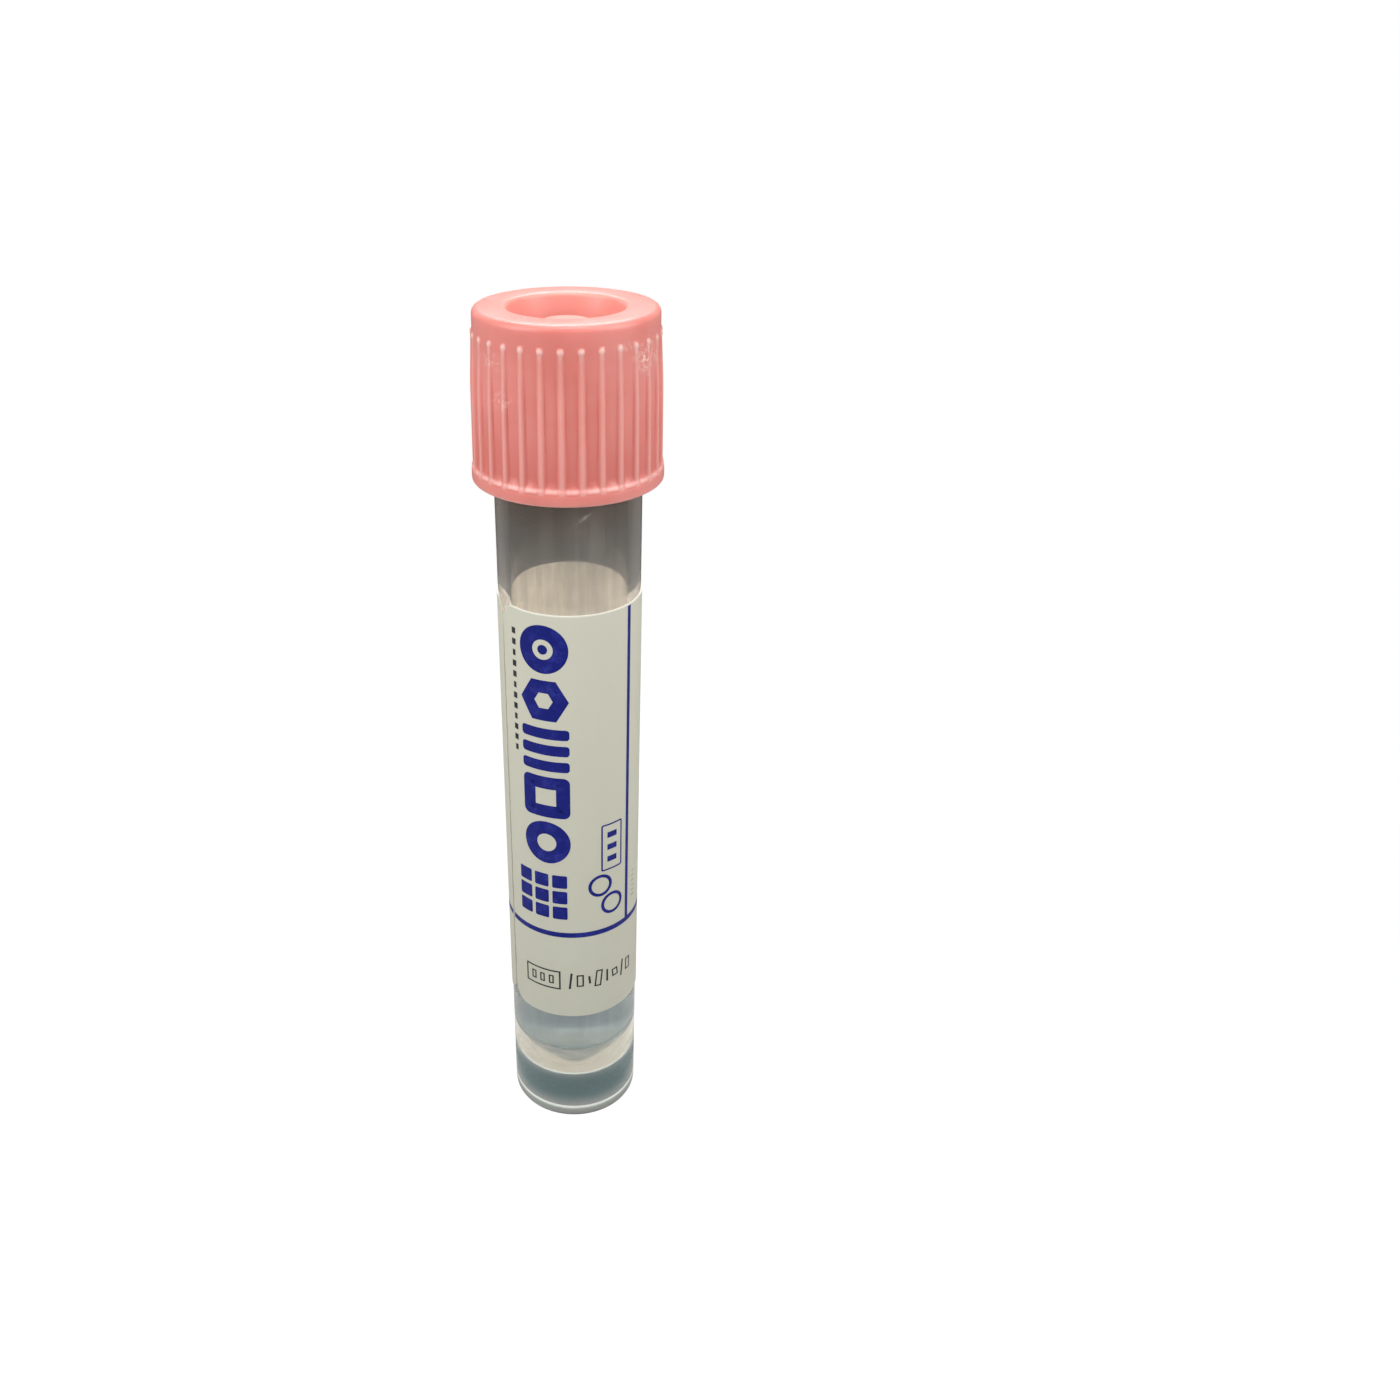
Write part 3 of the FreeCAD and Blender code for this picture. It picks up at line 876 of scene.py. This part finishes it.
def capMaterial():
    material, tree, shader = newMaterial("coral_polypropylene")
    look = capLook
    place = objectPlace(tree)
    height = heightOf(tree, place)
    broad = noise(tree, place, *look["mottle"])
    grain = noise(tree, place, *look["grain"])
    base = blendColours(tree, ramp(tree, broad, 0.35, 0.65), look["coral"], look["deep"])

    # painted shade: darker towards the foot; painted light: paler in the recess
    low, high, share = look["paintedFootShadeBand"]
    foot = ramp(tree, height, (capLow + low) * mm, (capLow + high) * mm, share, 0.0)
    foot = maths(tree, "MULTIPLY", foot, ramp(tree, height, (capLow + low - 0.3) * mm, (capLow + low) * mm))
    base = blendColours(tree, foot, base, look["paintedFootShade"])
    # painted light: the recess's wall is paler
    recess = look["recess"]
    inside = ramp(tree, fromAxis(tree, place), (recess + 0.5) * mm, recess * mm, 0.0, look["recessPaintedLightShare"])
    upRecess = ramp(tree, height, (capTop - look["recessDepth"]) * mm, capTop * mm)
    base = blendColours(tree, maths(tree, "MULTIPLY", inside, upRecess), base, look["inside"])

    # painted highlights on the ribs' tops and knobs and on the shoulder above the flange, a pale band along
    # the lip, and paler where the wall is scuffed
    paintedHighlightAndLip = put(tree, "ShaderNodeAttribute", attribute_name="paintedHighlightAndLip").outputs["Fac"]
    colour = blendColours(tree, paintedHighlightAndLip, base, look["pale"])
    scratches = ramp(tree, noise(tree, place, *look["scratches"]), *look["scratchLevels"])
    for turn, level, width, tall, strength in look["scuffs"]:
        patch = spot(tree, place, flangeRadius, turn, level, width, tall)
        patch = maths(tree, "MULTIPLY", patch, scratches)
        colour = blendColours(tree, maths(tree, "MULTIPLY", patch, strength), colour, look["pale"])
    fill(tree, shader, {
        "Base Color": colour,
        "Roughness": spread(tree, grain, *look["rough"]),
        "Normal": bump(tree, grain, look["relief"] * mm),
        "Subsurface Weight": 0.4,
        "Subsurface Radius": (1.0, 0.35, 0.25),
        "Subsurface Scale": 1.5 * mm,
        "Specular IOR Level": 0.7,
    })
    return material


def landRadius(height):
    look = capLook
    share = (height - look["flangeHeight"]) / (capTop - capLow - look["flangeHeight"])
    return look["landLow"] + (look["landTop"] - look["landLow"]) * clamp(share)


def ribForm(height, off):
    # how far a rib stands out of the lands here, and how strong the painted highlight on its top and knob
    # is
    look = capLook
    ribTop = capTop - capLow - look["ribBand"]
    up = clamp((height - look["flangeHeight"]) / (ribTop - look["flangeHeight"]))
    half = look["ribHalf"][0] + (look["ribHalf"][1] - look["ribHalf"][0]) * up
    lean = smooth((height - ribTop + look["knee"]) / look["knee"])
    reach = look["ribReach"] + (look["ribTopReach"] - look["ribReach"]) * lean
    bulge = math.sqrt(clamp(1 - (off / half) ** 2)) * smooth((ribTop - height) / 0.1 + 0.5)
    knobLevel = ribTop - look["knob"]
    away = math.hypot(off, height - knobLevel) / look["knob"]
    knob = math.sqrt(clamp(1 - away * away))
    rise = max(reach * bulge, (look["ribTopReach"] + look["knobRise"]) * knob)
    crestHighlight, knobHighlight = look["ribHighlight"]
    highlightStrength = max(crestHighlight * bulge ** 3 * (1.2 - 0.5 * up), knobHighlight * knob)
    return rise, highlightStrength


def makeCap():
    look = capLook
    tall = capTop - capLow
    recessFloor = tall - look["recessDepth"]
    bossTop = tall - look["bossDrop"]
    socketEnd = bossTop - look["bossRoof"]
    socketMouth = socketEnd - look["socketLength"]
    deck = tall - look["deck"]
    taperLow = look["taperLow"]
    ribTop = tall - look["ribBand"]
    knobLow = ribTop - look["knobZone"][0]
    knobTop = ribTop + look["knobZone"][1]
    bm = bmesh.new()
    drawOutline(bm, [
        (look["bore"], 0, 0.12), (flangeRadius, 0, 0.25), (flangeRadius, look["lipHeight"], 0.14),
        ((flangeRadius + look["landLow"]) / 2, (look["lipHeight"] + look["flangeHeight"]) / 2, 0),
        (look["landLow"], look["flangeHeight"], 0.1), (landRadius(taperLow), taperLow, 0),
        (landRadius(knobLow), knobLow, 0), (landRadius(knobTop), knobTop, 0),
        (look["landTop"], tall, look["rimRound"]),
        (look["recess"], tall, 0.35), (look["recessFloor"], recessFloor, 0.3),
        (look["boss"], recessFloor, 0.2), (look["boss"], bossTop, 0.25), (0, bossTop, 0),
        (0, socketEnd, 0), (look["socket"], socketEnd, 0.1), (look["socket"], socketMouth + 1, 0),
        (look["socket"] + 0.5, socketMouth, 0.1), (look["boss"], socketMouth, 0.08),
        (look["boss"], recessFloor - look["plugFloor"], 0.2),
        (look["plug"], recessFloor - look["plugFloor"], 0.35), (look["plug"], deck, 0.1),
        (look["bore"], deck, 0.15)], segments=4)
    skin = (look["landTop"] - 0.1, look["landLow"] + slack)
    for low, high, spacing in ((look["flangeHeight"], taperLow, 0.13), (taperLow, knobLow, 0.6),
                               (knobLow, knobTop, 0.06), (knobTop, tall, 0.3)):
        divideRun(bm, skin, low, high, spacing)
    divideRun(bm, (look["bore"] - slack, look["bore"] + slack), 0.1, deck, 0.3)
    turnOutline(bm, look["steps"])
    # per vertex: strength of the painted highlights, and of the pale band along the lip
    paintedHighlightAndLip = bm.verts.layers.float.new("paintedHighlightAndLip")
    pitch = math.tau / look["ribs"]
    first = math.radians(look["ribTurn"] - 90)
    level, half, highlightStrength, ledgeGap = look["ledgeHighlight"]
    lipPale, lipBand = look["lip"]
    margin = look["boreMargin"]
    for vert in bm.verts:
        reach = reachOf(vert.co)
        height = vert.co.z
        if reach > look["landTop"] - 0.3 and height > look["lipHeight"]:
            angle = math.atan2(vert.co.y, vert.co.x) - first
            off = abs((angle + pitch / 2) % pitch - pitch / 2) * landRadius(height)
            rise, vert[paintedHighlightAndLip] = ribForm(height, off)
            foot = 1 - clamp((height - look["flangeHeight"]) / look["footHeight"])
            flare = look["footFlare"] * foot * foot * (0.6 + off)
            # a painted highlight along the shoulder between the ribs
            onLedge = smooth(1 - abs(height - level) / half) * smooth((off - ledgeGap) / ledgeGap)
            vert[paintedHighlightAndLip] = max(vert[paintedHighlightAndLip], highlightStrength * onLedge)
            pushOut(vert, clamp(max(rise, flare), 0, max(0, flangeRadius - look["inset"] - reach)))
        elif reach > flangeRadius - lipBand and height < lipBand:
            vert[paintedHighlightAndLip] = lipPale * (1 - height / lipBand)
        elif abs(reach - look["bore"]) < 2 * slack and margin < height < deck - margin:
            pushOut(vert, -threadRidge(vert, *look["ridge"]))
    bmesh.ops.translate(bm, vec=(0, 0, capLow), verts=bm.verts)
    return finishPiece(bm, "cap_shell", "cap_body", [capMaterial()], ["screw_cap"])


# stage, lights and camera

stageLook = {
    "floorSize": 2.5,
    "floorColour": 0.45,
    "nearWhite": 0.72,        # how much of the floor by the tube is plain white to the eye
    "nearLevel": 1.2,         # its strength there, which makes up for the part that takes shadows
    "whiteReach": (0.02, 0.12),   # metres from the tube over which the floor turns all white
    "ambient": 0.25,              # least strength of the world's light
    "throughWalls": 0.1,          # strength of the surroundings through the clear walls
    "roomTint": (1.0, 0.93, 0.86, 1),     # of what the gloss shows
    "behind": (0.35, 0.7),        # angles from straight behind over which the dim floor grows bright
    "behindGloss": 0.25,          # share of the floor's gloss that is left there
    "inGloss": 0.44,              # strength of the surroundings in gloss
}


def eyeLevel(tree, dimming=1.0):
    # how white the surroundings show: straight on, in gloss, and through the clear walls
    rays = put(tree, "ShaderNodeLightPath")
    bent = rays.outputs["Is Transmission Ray"]
    gloss = maths(tree, "SUBTRACT", rays.outputs["Is Glossy Ray"], bent)      # a bent ray counts as both
    shine = maths(tree, "MULTIPLY", gloss, stageLook["inGloss"])
    shine = maths(tree, "MULTIPLY", shine, dimming)
    level = maths(tree, "MULTIPLY_ADD", bent, stageLook["throughWalls"], shine)
    colour = blendColours(tree, gloss, (1, 1, 1, 1), stageLook["roomTint"])
    return maths(tree, "MAXIMUM", level, rays.outputs["Is Camera Ray"]), colour


def makeStage():
    look = stageLook
    bm = bmesh.new()
    bmesh.ops.create_grid(bm, x_segments=4, y_segments=4, size=look["floorSize"])
    mesh = bpy.data.meshes.new("floor")
    bm.to_mesh(mesh)
    bm.free()
    floor = bpy.data.objects.new("floor", mesh)
    bpy.context.scene.collection.objects.link(floor)
    material, tree, shader = newMaterial("pale_floor")
    fill(tree, shader, {"Base Color": (look["floorColour"],) * 3 + (1,), "Roughness": 0.8})
    place = objectPlace(tree)
    away = put(tree, "ShaderNodeVectorMath", {0: place}, operation="LENGTH").outputs["Value"]
    near, far = look["whiteReach"]
    share = ramp(tree, away, near, far, look["nearWhite"], 1.0)
    parts = put(tree, "ShaderNodeSeparateXYZ", {0: place})
    aside = maths(tree, "ABSOLUTE", parts.outputs["X"])
    fromBehind = maths(tree, "ARCTAN2", aside, parts.outputs["Y"])
    start, end = look["behind"]
    level, colour = eyeLevel(tree, ramp(tree, fromBehind, start, end, look["behindGloss"], 1.0))
    strength = maths(tree, "MULTIPLY", level, ramp(tree, away, near, far, look["nearLevel"], 1.0))
    white = put(tree, "ShaderNodeEmission", {"Color": colour, "Strength": strength})
    seen = maths(tree, "MULTIPLY", maths(tree, "CEIL", level), share)
    whole = put(tree, "ShaderNodeMixShader", {0: seen, 1: shader.outputs[0], 2: white.outputs[0]})
    tree.links.new(whole.outputs[0], tree.nodes["Material Output"].inputs["Surface"])
    mesh.materials.append(material)


def makeWorld():
    world = bpy.data.worlds.new("studio")
    world.use_nodes = True
    bpy.context.scene.world = world
    tree = world.node_tree
    base = tree.nodes["Background"]
    level, colour = eyeLevel(tree)
    tree.links.new(colour, base.inputs["Color"])
    strength = maths(tree, "MAXIMUM", level, stageLook["ambient"])
    tree.links.new(strength, base.inputs["Strength"])


lampLook = {
    # place in metres, size, watts
    "left": ((-0.3, -0.16, 0.23), 0.3, 0.88),
    "right": ((0.3, -0.15, 0.24), 0.3, 0.83),
    "top": ((0.0, -0.1, 0.42), 0.3, 0.78),
    "back": ((0.0, 0.25, 0.36), 0.26, 1.1),
}
lampAim = Vector((0, 0, 0.055))


def makeLamps():
    for name, (place, size, watts) in lampLook.items():
        lamp = bpy.data.lights.new(name, "AREA")
        lamp.shape = "DISK"
        lamp.size = size
        lamp.energy = watts
        holder = bpy.data.objects.new(name, lamp)
        bpy.context.scene.collection.objects.link(holder)
        holder.location = place
        holder.rotation_euler = (lampAim - Vector(place)).to_track_quat("-Z", "Y").to_euler()


cameraLook = {
    "place": (0.0, -0.10509, 0.10126),
    "pitch": 28.361,
    "yaw": 1.422,
    "lens": 34.39,
    "sensor": 36,
    "shift": 0.0714,
    "clip": (0.005, 10),
}


def makeCamera():
    look = cameraLook
    camera = bpy.data.cameras.new("camera")
    camera.lens = look["lens"]
    camera.sensor_width = look["sensor"]
    camera.shift_x = look["shift"]
    camera.clip_start, camera.clip_end = look["clip"]
    holder = bpy.data.objects.new("camera", camera)
    bpy.context.scene.collection.objects.link(holder)
    holder.location = look["place"]
    holder.rotation_euler = (math.radians(90 - look["pitch"]), 0, -math.radians(look["yaw"]))
    bpy.context.scene.camera = holder


makeTube()
makeLiquid()
makeLabel()
makePrint()
makeSeal()
makeCap()
print("pieces made")
makeStage()
makeWorld()
makeLamps()
makeCamera()
bpy.context.scene.view_settings.view_transform = "Standard"
print("stage, lamps and camera set")
